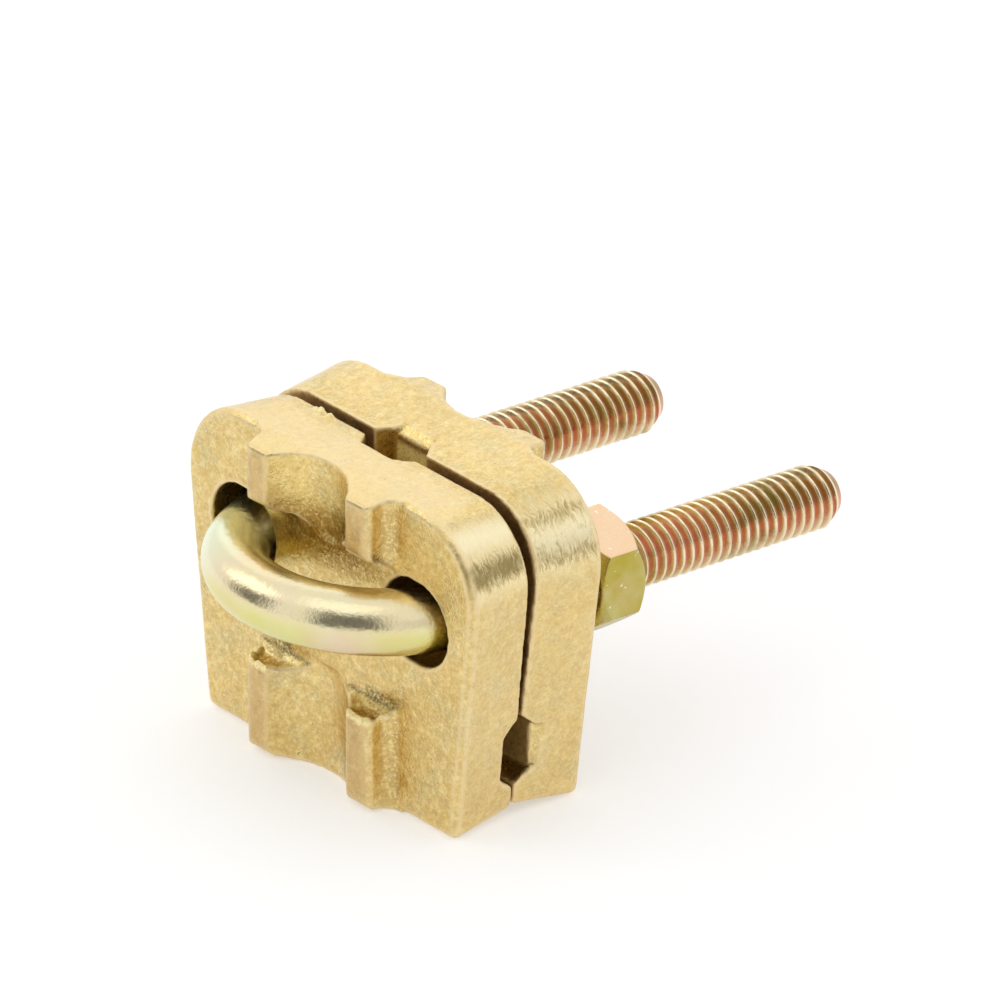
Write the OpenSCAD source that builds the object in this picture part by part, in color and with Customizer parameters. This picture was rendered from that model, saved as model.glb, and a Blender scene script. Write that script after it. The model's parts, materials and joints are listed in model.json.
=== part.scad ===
// Ground rod connector: two cast saddles drawn together by a U-bolt and two hex nuts.
// The rod stands in the cradle of the front saddle, inside the bend of the U-bolt.
// The cable lies between the saddles, in an upright groove or in a level one below the bolts.
// Origin on the rod axis at the foot of the front saddle, +Z along the rod, +Y toward the nuts.

/* [Ground rod] */
// Diameter of the ground rod that the cradle is shaped for
rod_d = 17.2; // [15:0.1:19]
// Depth of the cradle below the flat outer face
seat_sink = 0.3; // [0.2:0.05:0.8]

/* [U-bolt] */
// Bar diameter over the thread crests
bar_d = 7.9; // [6.5:0.1:9]
// Centre distance of the two legs
leg_span = 32; // [30:0.5:38]
// Straight length of each leg behind the bend
leg_len = 55.6; // [50:0.1:80]
// Distance from the outer face of the front saddle back to the centre of the bend
bend_setback = 6.6; // [5:0.1:7.4]
// Length of the chamfer on each leg tip
tip_chamfer = 2.2; // [0.5:0.1:3]
// Length of the thread from each tip
thread_len = 44; // [30:0.5:46]
// Pitch of the thread
thread_pitch = 1.411; // [1.2:0.001:2]
// Depth of the thread
thread_depth = 0.8; // [0.4:0.05:1]

/* [Saddle castings] */
// Height of each casting
plate_h = 40.6; // [38:0.2:48]
// Thickness from the outer face to the joint face
plate_t = 9.4; // [8:0.2:12]
// Metal outside each bolt axis at the foot
foot_margin = 6.5; // [6:0.1:10]
// Lean of each side, which makes the casting wider at the top
side_taper = 6.5; // [3:0.1:9]
// Draft from the outer face in to the joint face
draft = 6.8; // [2:0.1:7]
// Radius of the two upper corners
corner_r = 10; // [6:0.5:12]
// Radius of the two lower corners
foot_r = 1.3; // [1.2:0.1:3]
// Softened edge around the outer face
edge_break = 0.7; // [0.3:0.1:1]
// Height of the bolt holes above the foot
hole_z = 25.9; // [25:0.1:28]
// Play between a leg and the wall of its hole
hole_play = 1.4; // [1:0.1:2]

/* [Lugs] */
// Height of the lugs above the outer face
lug_h = 3.6; // [3:0.1:5]
// Width of each lug outside the cradle
lug_w = 3.9; // [3:0.1:5]
// Height of the lower pair of lugs
lower_lug = 12.1; // [9:0.1:13]
// Height of the upper pair of lugs
upper_lug = 8.2; // [6:0.1:8.4]
// Draft on the foot and the head of the lugs
lug_draft = 10; // [2:1:15]
// Rounding at the foot of the lower lugs
lug_foot_r = 1.6; // [0.5:0.1:2]
// Rounding at the head of the upper lugs
lug_head_r = 0.6; // [0.4:0.1:1.5]

/* [Cable grooves] */
// Width of each groove at the joint face
groove_mouth = 9.2; // [7:0.1:11]
// Width of each groove at its floor
groove_floor = 5.8; // [4:0.1:6.5]
// Depth of each groove in one casting
groove_depth = 2.1; // [1.5:0.1:3]
// Height of the middle of the level groove
level_groove_z = 8.4; // [8:0.1:11]
// Bevel on the floor at each end of the rear grooves
groove_bevel = 1; // [0.3:0.1:1.5]

/* [Hex nuts] */
// Width across the flats
nut_af = 13.4; // [12:0.1:14.2]
// Height of a nut
nut_h = 6.75; // [5:0.05:8]
// Radial play between the thread of a nut and its leg
thread_play = 0.05; // [0.03:0.01:0.1]
// Slope of the bevel on the corners of a nut
nut_bevel_angle = 45; // [25:1:50]
// Turn of the nuts from flats upright
nut_turn = 54; // [0:1:59]

/* [Resting pose] */
// Gap between the two castings at the foot
joint_gap = 0.25; // [0.2:0.05:2]
// Backward lean of the rear saddle while the nuts are slack
rear_lean = 1.8; // [0:0.1:3]
// Backward lean of the U-bolt and the nuts
bolt_lean = 3; // [0:0.1:4]
// Gap between a slack nut and the rear saddle
nut_gap = 2.6; // [0.5:0.1:4]

/* [Hidden] */
$fn = 64;
brass = [0.78, 0.61, 0.29];
zinc = [0.85, 0.79, 0.50];

// How far a cut runs past the surface, and the least size that is left
over = 1;
least = 0.1;
far = 100;

rod_r = rod_d / 2;
bar_r = bar_d / 2;
bend_r = leg_span / 2;
hole_r = bar_r + hole_play;

// Outer face of the front saddle, from the rod axis
face_y = rod_r - seat_sink;
// Half width of the cradle at the front of the lugs
seat_half = sqrt(pow(rod_r, 2) - pow(face_y - lug_h, 2));
lug_half = seat_half + lug_w;
lug_round = 0.32 * lug_h;
root_r = 0.55 * lug_h;
lug_end_r = lug_h - root_r - least;
lug_lift = tan(lug_draft);
root_sink = 0.08;
bury = 1;
lug_top = plate_h - upper_lug;

side_run = tan(side_taper);
side_len = sqrt(1 + pow(side_run, 2));
draft_in = plate_t * tan(draft);
foot_half = bend_r + foot_margin;
corner_z = plate_h - corner_r;
corner_x = foot_half + side_run * corner_z - corner_r * side_len;
foot_x = foot_half + side_run * foot_r - foot_r * side_len;

// The inner side of the bend at the outer face sets how far each hole is drawn inward
slot_play = 0.35;
bend_inner = sqrt(pow(bend_r - bar_r, 2) - pow(bend_setback, 2));
slot_run = max(least, bend_r - hole_r - bend_inner + slot_play);

// The floor of each groove, and the side of the casting where the level groove leaves it
floor_y = plate_t - groove_depth;
floor_draft = draft_in * (floor_y - edge_break) / (plate_t - edge_break);
level_end = foot_half + side_run * level_groove_z - side_len * floor_draft;

// The slack bolt hangs low in its holes
hang_play = 0.3;
bolt_drop = hole_play - hang_play;
rear_y = face_y + plate_t + joint_gap - draft_in * sin(rear_lean);
rear_z = plate_t * sin(rear_lean);

// Middle of the legs inside the rear saddle, where the bolt hangs in its holes
leg_z = hole_z - bolt_drop;
bolt_y = rear_y + plate_t / 2 * cos(rear_lean) + leg_z * sin(rear_lean);
bolt_z = rear_z - plate_t / 2 * sin(rear_lean) + leg_z * cos(rear_lean);
bend_y = (face_y + bend_setback - bolt_y) / cos(bolt_lean);

// One pitch of the thread: how far along it each line of points lies, and its share of the depth
thread_form = [[0.15, 1], [0.5, 0], [0.85, 1]];
thread_facets = 18;
run_out = 2 * thread_pitch;
// The foot of the thread is let into the plain bar, a little slimmer than it
thread_sink = thread_pitch / 2;
foot_in = 0.05;
plain_len = leg_len - thread_len;
tip_in = max(thread_depth, 0.55 * tip_chamfer);
// The rows of points start before the foot of the thread and end past its tip
early_turns = 2;
thread_rows = thread_facets * (ceil(thread_len / thread_pitch) + early_turns + 1);

nut_corner = nut_af / sqrt(3);
nut_face_r = 0.475 * nut_af;
nut_round = nut_corner + 2 * least;
nut_bevel = (nut_round - nut_face_r) * tan(nut_bevel_angle);
nut_bore = bar_r + thread_play;
nut_lead = 0.5;
lead_over = 0.01;

function arc(cx, cy, r, from, to, steps = 6) =
    [for (i = [0:steps]) [cx + r * cos(from + (to - from) * i / steps),
                          cy + r * sin(from + (to - from) * i / steps)]];

function mirrored(points) =
    [for (i = [len(points) - 1:-1:0]) [-points[i][0], points[i][1]]];

// Plan of the lug block, with a rounded outer edge and a hollow root
lug_flank = concat(
    arc(lug_half - lug_round, lug_round - lug_h, lug_round, -90, 0),
    arc(lug_half + root_r, root_sink - root_r, root_r, 180, 90),
    [[lug_half + root_r, bury]]);
lug_plan = concat(lug_flank, mirrored(lug_flank));

// Side of the lug block, with the clear band for the bend between the two pairs of lugs
function end_rise(r) = r / cos(lug_draft) + (lug_h - r) * lug_lift;

lug_side = concat(
    [[bury, 0], [0, 0]],
    arc(lug_foot_r - lug_h, end_rise(lug_foot_r), lug_foot_r, 270 - lug_draft, 180),
    [[-lug_h, lower_lug]],
    arc(root_sink - root_r, lower_lug + root_r, root_r, -90, 0),
    arc(root_sink - root_r, lug_top - root_r, root_r, 0, 90),
    arc(lug_end_r - lug_h, lug_top + lug_end_r, lug_end_r, 270, 180),
    arc(lug_head_r - lug_h, plate_h - end_rise(lug_head_r), lug_head_r, 180, 90 + lug_draft),
    [[0, plate_h], [bury, plate_h]]);

// Points of the thread, held within its length and within the cone of the tip
function thread_z(row, line) =
    let(turn = row / thread_facets - early_turns + thread_form[line][0])
    max(0, min(thread_len, turn * thread_pitch));

function thread_r(z, share) =
    let(cut = share * thread_depth * min(1, z / run_out),
        foot = foot_in * max(0, 1 - z / run_out),
        cone = tip_in * max(0, 1 - (thread_len - z) / tip_chamfer))
    bar_r - max(cut, foot, cone);

function thread_point(row, line) =
    let(z = thread_z(row, line),
        r = thread_r(z, thread_form[line][1]),
        a = 360 / thread_facets * (row % thread_facets))
    [r * cos(a), r * sin(a), z];

module corner_post(x, z, r) {
    translate([x, 0, z])
    rotate([-90, 0, 0]) {
        cylinder(h = edge_break, r1 = r - edge_break, r2 = r);
        translate([0, 0, edge_break])
        cylinder(h = plate_t - edge_break, r1 = r, r2 = max(least, r - draft_in));
    }
}

module plate() {
    hull()
    for (side = [-1, 1]) {
        corner_post(side * corner_x, corner_z, corner_r);
        corner_post(side * foot_x, foot_r, foot_r);
    }
}

module lugs() {
    intersection() {
        linear_extrude(plate_h)
        polygon(lug_plan);
        translate([-far / 2, 0, 0])
        rotate([90, 0, 90])
        linear_extrude(far)
        polygon(lug_side);
    }
}

module cradle() {
    translate([0, -face_y, -over])
    cylinder(h = lower_lug + root_r + over, r = rod_r);
    translate([0, -face_y, lug_top - root_r])
    cylinder(h = upper_lug + root_r + over, r = rod_r);
}

module bolt_hole(side) {
    for (run = [0, slot_run])
    translate([side * (bend_r - run), -lug_h - over, hole_z])
    rotate([-90, 0, 0])
    cylinder(h = plate_t + lug_h + 2 * over, r = hole_r);
    translate([side * (bend_r - slot_run / 2) - slot_run / 2, -over, hole_z - hole_r])
    cube([slot_run, plate_t + 2 * over, 2 * hole_r]);
}

module groove(length) {
    linear_extrude(length)
    polygon([
        [-groove_floor / 2, floor_y],
        [groove_floor / 2, floor_y],
        [groove_mouth / 2, plate_t],
        [groove_mouth / 2, plate_t + over],
        [-groove_mouth / 2, plate_t + over],
        [-groove_mouth / 2, plate_t]]);
}

// Wedge across the floor of a groove, at an end that faces up
module floor_bevel() {
    rotate([90, 0, 90])
    linear_extrude(groove_floor, center = true)
    polygon([
        [-groove_bevel - over, over],
        [over, over],
        [over, -groove_bevel - over]]);
}

module groove_ends() {
    translate([0, floor_y, plate_h - floor_draft])
    floor_bevel();
    translate([0, floor_y, floor_draft])
    rotate([0, 180, 0])
    floor_bevel();
    for (side = [-1, 1])
    translate([side * level_end, floor_y, level_groove_z])
    rotate([0, side * 90, 0])
    floor_bevel();
}

module casting(bevelled) {
    difference() {
        union() {
            plate();
            lugs();
        }
        cradle();
        bolt_hole(-1);
        bolt_hole(1);
        translate([0, 0, -over])
        groove(plate_h + 2 * over);
        translate([-far / 2, 0, level_groove_z])
        rotate([0, 90, 0])
        groove(far);
        if (bevelled)
        groove_ends();
    }
}

module rear_frame() {
    translate([0, rear_y, rear_z])
    rotate([-rear_lean, 0, 0])
    children();
}

module bolt_frame() {
    translate([0, bolt_y, bolt_z])
    rotate([-bolt_lean, 0, 0])
    children();
}

module hex_nut() {
    difference() {
        intersection() {
            cylinder(h = nut_h, r = nut_corner, $fn = 6);
            rotate_extrude()
            polygon([
                [0, 0],
                [nut_face_r, 0],
                [nut_round, nut_bevel],
                [nut_round, nut_h - nut_bevel],
                [nut_face_r, nut_h],
                [0, nut_h]]);
        }
        translate([0, 0, -over])
        cylinder(h = nut_h + 2 * over, r = nut_bore);
        translate([0, 0, -lead_over])
        cylinder(h = nut_lead, r1 = nut_bore + nut_lead, r2 = nut_bore);
        translate([0, 0, nut_h - nut_lead + lead_over])
        cylinder(h = nut_lead, r1 = nut_bore, r2 = nut_bore + nut_lead);
    }
}

module nut_on(side) {
    bolt_frame()
    translate([side * bend_r, plate_t / 2 + nut_gap, 0])
    rotate([-90, 0, 0])
    rotate([0, 0, 30 + nut_turn])
    hex_nut();
}

module front_saddle() {
    color(brass)
    translate([0, face_y, 0])
    casting(bevelled = false);
}

module rear_saddle() {
    color(brass)
    rear_frame()
    translate([0, plate_t, 0])
    rotate([0, 0, 180])
    casting(bevelled = true);
}

// A helical strip of triangles, where the last line of a turn joins the first line of the next
module thread() {
    lines = len(thread_form);
    points = [for (row = [0:thread_rows], line = [0:lines - 1]) thread_point(row, line)];
    strip = [for (row = [0:thread_rows - thread_facets - 1], line = [0:lines - 1])
        let(a = row * lines + line,
            up = line < lines - 1 ? 1 : 1 + (thread_facets - 1) * lines)
        each [[a, a + up + lines, a + lines], [a, a + up, a + up + lines]]];
    walls = [for (face = strip)
        if (points[face[0]] != points[face[1]]
            && points[face[1]] != points[face[2]]
            && points[face[2]] != points[face[0]]) face];
    foot = [for (row = [0:thread_facets - 1]) row * lines];
    head = [for (row = [0:thread_facets - 1]) (thread_rows - row) * lines];
    polyhedron(points, concat(walls, [foot, head]));
}

module u_bolt() {
    color(zinc)
    bolt_frame()
    translate([0, bend_y, 0]) {
        rotate([0, 0, 180])
        rotate_extrude(angle = 180)
        translate([bend_r, 0])
        circle(r = bar_r);
        for (side = [-1, 1])
        translate([side * bend_r, 0, 0])
        rotate([-90, 0, 0]) {
            cylinder(h = plain_len + thread_sink, r = bar_r);
            translate([0, 0, plain_len])
            thread();
        }
    }
}

module left_nut() {
    color(zinc)
    nut_on(-1);
}

module right_nut() {
    color(zinc)
    nut_on(1);
}

front_saddle();
rear_saddle();
u_bolt();
left_nut();
right_nut();
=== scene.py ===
import json
import math

import bmesh
import bpy
import numpy as np
from mathutils import Matrix, Vector, noise


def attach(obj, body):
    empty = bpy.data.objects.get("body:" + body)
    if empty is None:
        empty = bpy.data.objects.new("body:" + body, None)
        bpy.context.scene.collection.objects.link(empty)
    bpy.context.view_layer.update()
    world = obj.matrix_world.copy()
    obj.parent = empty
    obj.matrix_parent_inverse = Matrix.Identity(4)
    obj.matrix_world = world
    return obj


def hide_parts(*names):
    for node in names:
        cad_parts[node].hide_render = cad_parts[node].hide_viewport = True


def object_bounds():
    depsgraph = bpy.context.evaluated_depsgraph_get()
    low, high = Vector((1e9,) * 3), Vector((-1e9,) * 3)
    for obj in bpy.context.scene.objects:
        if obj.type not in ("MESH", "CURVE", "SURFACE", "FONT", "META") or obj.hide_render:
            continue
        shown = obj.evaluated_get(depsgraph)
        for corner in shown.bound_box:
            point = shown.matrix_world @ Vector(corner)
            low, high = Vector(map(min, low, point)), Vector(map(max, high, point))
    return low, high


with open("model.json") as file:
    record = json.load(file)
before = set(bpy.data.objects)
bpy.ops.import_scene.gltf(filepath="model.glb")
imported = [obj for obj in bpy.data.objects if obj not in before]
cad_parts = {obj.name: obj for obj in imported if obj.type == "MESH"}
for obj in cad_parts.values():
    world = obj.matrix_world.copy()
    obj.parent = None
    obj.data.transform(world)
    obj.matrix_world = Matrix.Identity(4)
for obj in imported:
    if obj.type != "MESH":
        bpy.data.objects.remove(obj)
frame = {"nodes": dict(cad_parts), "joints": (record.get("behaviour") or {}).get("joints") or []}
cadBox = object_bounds()
mm = 0.001
jointNamed = {joint["name"]: joint for joint in frame["joints"]}
scene = bpy.context.scene
scene.view_settings.view_transform = "Standard"
print("frame loaded:", ", ".join(sorted(frame["nodes"])))


# node helpers, used by the geometry trees and the materials alike

def feed(tree, value, socket):
    if isinstance(value, bpy.types.NodeSocket):
        tree.links.new(value, socket)
    else:
        socket.default_value = value


def addNode(tree, kind, inputs=None, **settings):
    node = tree.nodes.new(kind)
    for name, value in settings.items():
        setattr(node, name, value)
    for key, value in (inputs or {}).items():
        feed(tree, value, node.inputs[key])
    return node


def calc(tree, operation, *values):
    return addNode(tree, "ShaderNodeMath", dict(enumerate(values)), operation=operation).outputs[0]


def plus(tree, first, second):
    return calc(tree, "ADD", first, second)


def minus(tree, first, second):
    return calc(tree, "SUBTRACT", first, second)


def times(tree, first, *others):
    for other in others:
        first = calc(tree, "MULTIPLY", first, other)
    return first


def ramp(tree, value, low, high, toLow=0.0, toHigh=1.0):
    ends = {0: value, 1: low, 2: high, 3: toLow, 4: toHigh}
    return addNode(tree, "ShaderNodeMapRange", ends).outputs[0]


def mixColour(tree, share, first, second):
    return addNode(tree, "ShaderNodeMix", {0: share, 6: first, 7: second}, data_type="RGBA").outputs[2]


def noiseAt(tree, place, size, detail=2.0, roughness=0.5, seed=0.0):
    scale = calc(tree, "DIVIDE", 1.0, size)
    ends = {"Vector": place, "W": seed, "Scale": scale, "Detail": detail, "Roughness": roughness}
    return addNode(tree, "ShaderNodeTexNoise", ends, noise_dimensions="4D").outputs[0]


def sockets(kind, **values):  # rows for newTree: name, kind and starting value
    return [(name, "NodeSocket" + kind, value) for name, value in values.items()]


def newTree(name, kind, inputs, outputs):
    tree = bpy.data.node_groups.new(name, kind)
    for side, rows in (("INPUT", inputs), ("OUTPUT", outputs)):
        for socketName, socketKind, value in rows:
            socket = tree.interface.new_socket(socketName, in_out=side, socket_type=socketKind)
            if value is not None:
                socket.default_value = value
    return tree, tree.nodes.new("NodeGroupInput").outputs, tree.nodes.new("NodeGroupOutput").inputs


def endTree(tree, mesh, material, result):  # how each geometry tree ends
    whole = addNode(tree, "GeometryNodeRealizeInstances", {0: mesh})
    dressed = addNode(tree, "GeometryNodeSetMaterial", {"Geometry": whole.outputs[0], "Material": material})
    feed(tree, dressed.outputs[0], result[0])


# mesh helpers

def addObject(name, data):
    piece = bpy.data.objects.new(name, data)
    scene.collection.objects.link(piece)
    return piece


def plainMesh(piece):
    graph = bpy.context.evaluated_depsgraph_get()
    mesh = bpy.data.meshes.new_from_object(piece.evaluated_get(graph))
    piece.modifiers.clear()
    return mesh


def throughTree(piece, tree, values):  # values that the tree has no input for are passed over
    modifier = piece.modifiers.new(tree.name, "NODES")
    modifier.node_group = tree
    for item in tree.interface.items_tree:
        if item.item_type == "SOCKET" and item.in_out == "INPUT" and item.name in values:
            modifier[item.identifier] = values[item.name]
    piece.data = plainMesh(piece)


def nodeCopy(nodeName):  # the frame's meshes are loose triangles, so their points are merged
    mergeGap = 0.002 * mm
    mesh = frame["nodes"][nodeName].data.copy()
    mesh.materials.clear()
    work = bmesh.new()
    work.from_mesh(mesh)
    bmesh.ops.remove_doubles(work, verts=work.verts, dist=mergeGap)
    work.to_mesh(mesh)
    work.free()
    return mesh


def remeshed(name, mesh, voxel):
    piece = addObject(name, mesh)
    skin = piece.modifiers.new("skin", "REMESH")
    skin.mode = "VOXEL"
    skin.voxel_size = voxel
    piece.data = plainMesh(piece)
    return piece


def vertexValues(mesh, what):
    values = np.empty(len(mesh.vertices) * 3, np.float32)
    mesh.vertices.foreach_get(what, values)
    return values.reshape(-1, 3).astype(float)


def movePoints(mesh, points):
    mesh.vertices.foreach_set("co", points.astype(np.float32).ravel())
    mesh.update()


def readValues(mesh, name):
    values = np.empty(len(mesh.vertices), np.float32)
    mesh.attributes[name].data.foreach_get("value", values)
    return values


def storeValues(mesh, name, values):
    attribute = mesh.attributes.get(name) or mesh.attributes.new(name, "FLOAT", "POINT")
    attribute.data.foreach_set("value", values.astype(np.float32))


def edgePairs(mesh):
    pairs = np.empty(len(mesh.edges) * 2, np.int32)
    mesh.edges.foreach_get("vertices", pairs)
    return pairs.reshape(-1, 2)


def neighbourMean(values, pairs):
    flat = values.reshape(len(values), -1)
    count = np.maximum(np.bincount(pairs.ravel(), minlength=len(flat)), 1)
    mean = np.empty_like(flat)
    for column in range(flat.shape[1]):
        mean[:, column] = np.bincount(pairs[:, 0], flat[pairs[:, 1], column], len(flat))
        mean[:, column] += np.bincount(pairs[:, 1], flat[pairs[:, 0], column], len(flat))
    return (mean / count[:, None]).reshape(values.shape)


def evened(values, pairs, passes, give=0.5):  # give may differ from point to point
    for _ in range(passes):
        values = values + give * (neighbourMean(values, pairs) - values)
    return values


def softened(mesh, passes, give=0.5):
    movePoints(mesh, evened(vertexValues(mesh, "co"), edgePairs(mesh), passes, give))


def bentness(mesh, step, passes):  # above zero on a ridge, below zero in a corner
    pairs = edgePairs(mesh)
    points = vertexValues(mesh, "co")
    lift = points - neighbourMean(points, pairs)
    bend = np.einsum("ij,ij->i", lift, vertexValues(mesh, "normal")) / step
    return evened(bend, pairs, passes)


def smoothShare(values, low, high):  # 0 at low and 1 at high, whichever is the larger
    share = np.clip((values - low) / (high - low), 0, 1)
    return share * share * (3 - 2 * share)


def bandShare(values, low, high, soft):
    return smoothShare(values, low - soft, low + soft) * smoothShare(values, high + soft, high - soft)


def roughNoise(points, size):  # 0 to 1, only for a few points
    return np.array([0.5 + 0.5 * noise.noise(Vector(point) / size) for point in points])


# shader groups that several finishes share

groupPlan = {
    "speckleRoughness": 0.55,
    "wearDetail": 3.0,
    "wearLevels": (0.3, 0.6, 0.35, 1.0),  # from and to, and the shares there
}


def speckleGroup():
    tree, given, result = newTree(
        "speckle", "ShaderNodeTree",
        sockets("Vector", Place=None)
        + sockets("Float", Size=1.0 * mm, Detail=2.0, Low=0.35, High=0.65, Seed=0.0),
        sockets("Float", Mask=None))
    grey = noiseAt(tree, given["Place"], given["Size"], given["Detail"],
                   groupPlan["speckleRoughness"], given["Seed"])
    feed(tree, ramp(tree, grey, given["Low"], given["High"]), result["Mask"])
    return tree


# a patchy mask along convex edges: real wear, which the finishes also paint pale as a highlight
def edgeWearHighlightGroup():
    tree, given, result = newTree(
        "edgeWearHighlight", "ShaderNodeTree",
        sockets("Vector", Place=None) + sockets("Float", Edge=0.0, Patch=1.5 * mm, Amount=1.0),
        sockets("Float", Mask=None))
    grey = noiseAt(tree, given["Place"], given["Patch"], groupPlan["wearDetail"])
    patches = ramp(tree, grey, *groupPlan["wearLevels"])
    wornHighlight = times(tree, given["Edge"], patches, given["Amount"])
    feed(tree, calc(tree, "MINIMUM", wornHighlight, 1.0), result["Mask"])
    return tree


speckle = speckleGroup()
edgeWearHighlight = edgeWearHighlightGroup()


# material helpers

def newFinish(name):
    material = bpy.data.materials.new(name)
    material.use_nodes = True
    tree = material.node_tree
    shader = tree.nodes["Principled BSDF"]
    place = tree.nodes.new("ShaderNodeTexCoord").outputs["Object"]
    return material, tree, shader, place


def useGroup(tree, group, values):
    return addNode(tree, "ShaderNodeGroup", values, node_tree=group).outputs[0]


def spots(tree, place, plan):
    return useGroup(tree, speckle, {"Place": place, **plan})


def attributeAt(tree, name):
    return addNode(tree, "ShaderNodeAttribute", attribute_name=name).outputs["Fac"]


def layered(tree, colour, layers):  # each has a mask, the colour that it brings in and its strongest share
    for mask, other, most in layers:
        colour = mixColour(tree, times(tree, mask, most), colour, other)
    return colour


def bumped(tree, shader, height, depth):
    bump = addNode(tree, "ShaderNodeBump", {"Height": height, "Distance": depth})
    feed(tree, bump.outputs[0], shader.inputs["Normal"])


# sand cast brass of the two saddles

brassLook = {
    "gold": (0.73, 0.56, 0.26, 1),
    "shade": (0.61, 0.44, 0.16, 1),
    # amber: painted shade in concave corners, behind the bolt and in the dished lug heads
    "amberShade": (0.38, 0.22, 0.05, 1),
    "honey": (0.84, 0.58, 0.17, 1),
    # painted highlight on the upper part of the cradle
    "cradleHighlight": (0.96, 0.74, 0.28, 1),
    # pale: painted highlight on the tops and flanks
    "pale": (0.92, 0.75, 0.43, 1),
    # pale flecks and sparkles: painted glints on the sand cast grain
    "paleGlintFleck": (1.0, 0.84, 0.42, 1),
    "sparkleGlint": (1.0, 0.94, 0.66, 1),
    "fleckDark": (0.50, 0.34, 0.11, 1),
    "sage": (0.56, 0.52, 0.29, 1),
    "dirt": (0.15, 0.11, 0.05, 1),
    "moss": (0.17, 0.17, 0.08, 1),
    # darker brown of the joint faces, and painted shade in the level groove
    "insideBrown": (0.40, 0.22, 0.08, 1),
    # worn edges: real wear, and a painted highlight along the edges
    "wornHighlight": (1.0, 0.80, 0.44, 1),
    "rosy": (0.61, 0.42, 0.19, 1),
    "rosyDark": (0.40, 0.26, 0.12, 1),
    "chalk": (1.0, 0.80, 0.26, 1),
    # painted dark reflection and painted highlight on the ground corners
    "filedDarkReflection": (0.30, 0.225, 0.08, 1),
    "filedHighlight": (1.0, 0.90, 0.60, 1),
    "calm": 0.6,  # how far smooth stretches lose the grain
    "wearPatch": 1.8 * mm,
    "wearAmount": 0.9,
    "fray": 0.65,  # how far streaks break up the painted dark reflection bands on the ground corners
    "streak": {"Size": 0.25 * mm, "Low": 0.32, "High": 0.68, "Seed": 9.0, "Detail": 3.0},
    "streakStretch": (0.18, 1.0, 0.18),
    "streakSway": 0.9 * mm,
    "grainShare": 0.8,
    "dustShare": 0.2,
    "streakShare": 0.2,
    "grainDepth": 0.05 * mm,
    "facetDepth": 0.05 * mm,
    "roughness": (0.20, 0.34),
    "dullRoughness": 0.2,
    "chalkDull": 1.5,
    "chalkMetal": 0.15,
}
brassSpots = {
    "cloud": {"Size": 7.0 * mm, "Low": 0.30, "High": 0.70, "Seed": 0.0, "Detail": 2.0},
    "patch": {"Size": 1.9 * mm, "Low": 0.32, "High": 0.68, "Seed": 3.0, "Detail": 4.0},
    "strip": {"Size": 1.9 * mm, "Low": 0.50, "High": 0.72, "Seed": 41.0, "Detail": 5.0},
    "mottle": {"Size": 1.0 * mm, "Low": 0.28, "High": 0.72, "Seed": 27.0, "Detail": 3.0},
    "grain": {"Size": 0.40 * mm, "Low": 0.25, "High": 0.75, "Seed": 5.0, "Detail": 4.0},
    # painted glints inside the painted shade of the hollows
    "hollowFleck": {"Size": 0.40 * mm, "Low": 0.54, "High": 0.64, "Seed": 45.0, "Detail": 2.0},
    "sage": {"Size": 3.2 * mm, "Low": 0.50, "High": 0.68, "Seed": 21.0, "Detail": 5.0},
    "moss": {"Size": 0.38 * mm, "Low": 0.44, "High": 0.60, "Seed": 36.0, "Detail": 4.0},
    "facet": {"Size": 2.4 * mm, "Low": 0.25, "High": 0.75, "Seed": 51.0, "Detail": 1.0},
    # sparkles: painted glints, in clusters
    "sparkleGlint": {"Size": 0.25 * mm, "Low": 0.61, "High": 0.69, "Seed": 15.0, "Detail": 3.0},
    "sparkCluster": {"Size": 1.0 * mm, "Low": 0.40, "High": 0.60, "Seed": 61.0, "Detail": 2.0},
    "dust": {"Size": 0.15 * mm, "Low": 0.30, "High": 0.70, "Seed": 7.0, "Detail": 2.0},
    "pit": {"Size": 0.8 * mm, "Low": 0.72, "High": 0.77, "Seed": 13.0, "Detail": 2.0},
}
# from, to and, where these aren't 0 and 1, the shares there
brassRamps = {
    "darkMottle": (0.45, 0.05),
    "darkGrain": (0.5, 0.1),
    # the pale ends of the mottle and the grain carry painted glints
    "glintMottle": (0.55, 0.95),
    "glintGrain": (0.5, 0.95),
    # patchiness of the painted shade
    "shadePatch": (0, 1, 1.0, 0.65),
    "filedStreak": (0, 1, 0.1, 0.6),
    "chalkGrain": (0.2, 0.7, 0.1, 0.9),
    # how the painted highlight on the raised lips breaks up
    "lipGrain": (0.2, 0.6, 0.3, 1.0),
}
# what markCasting and roughenLugs leave on the meshes
brassMarks = ("edge", "hollow", "lugFront", "cradle", "plain", "filed", "ground", "highlightBand",
              "inside", "groove", "grime", "lip")


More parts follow.
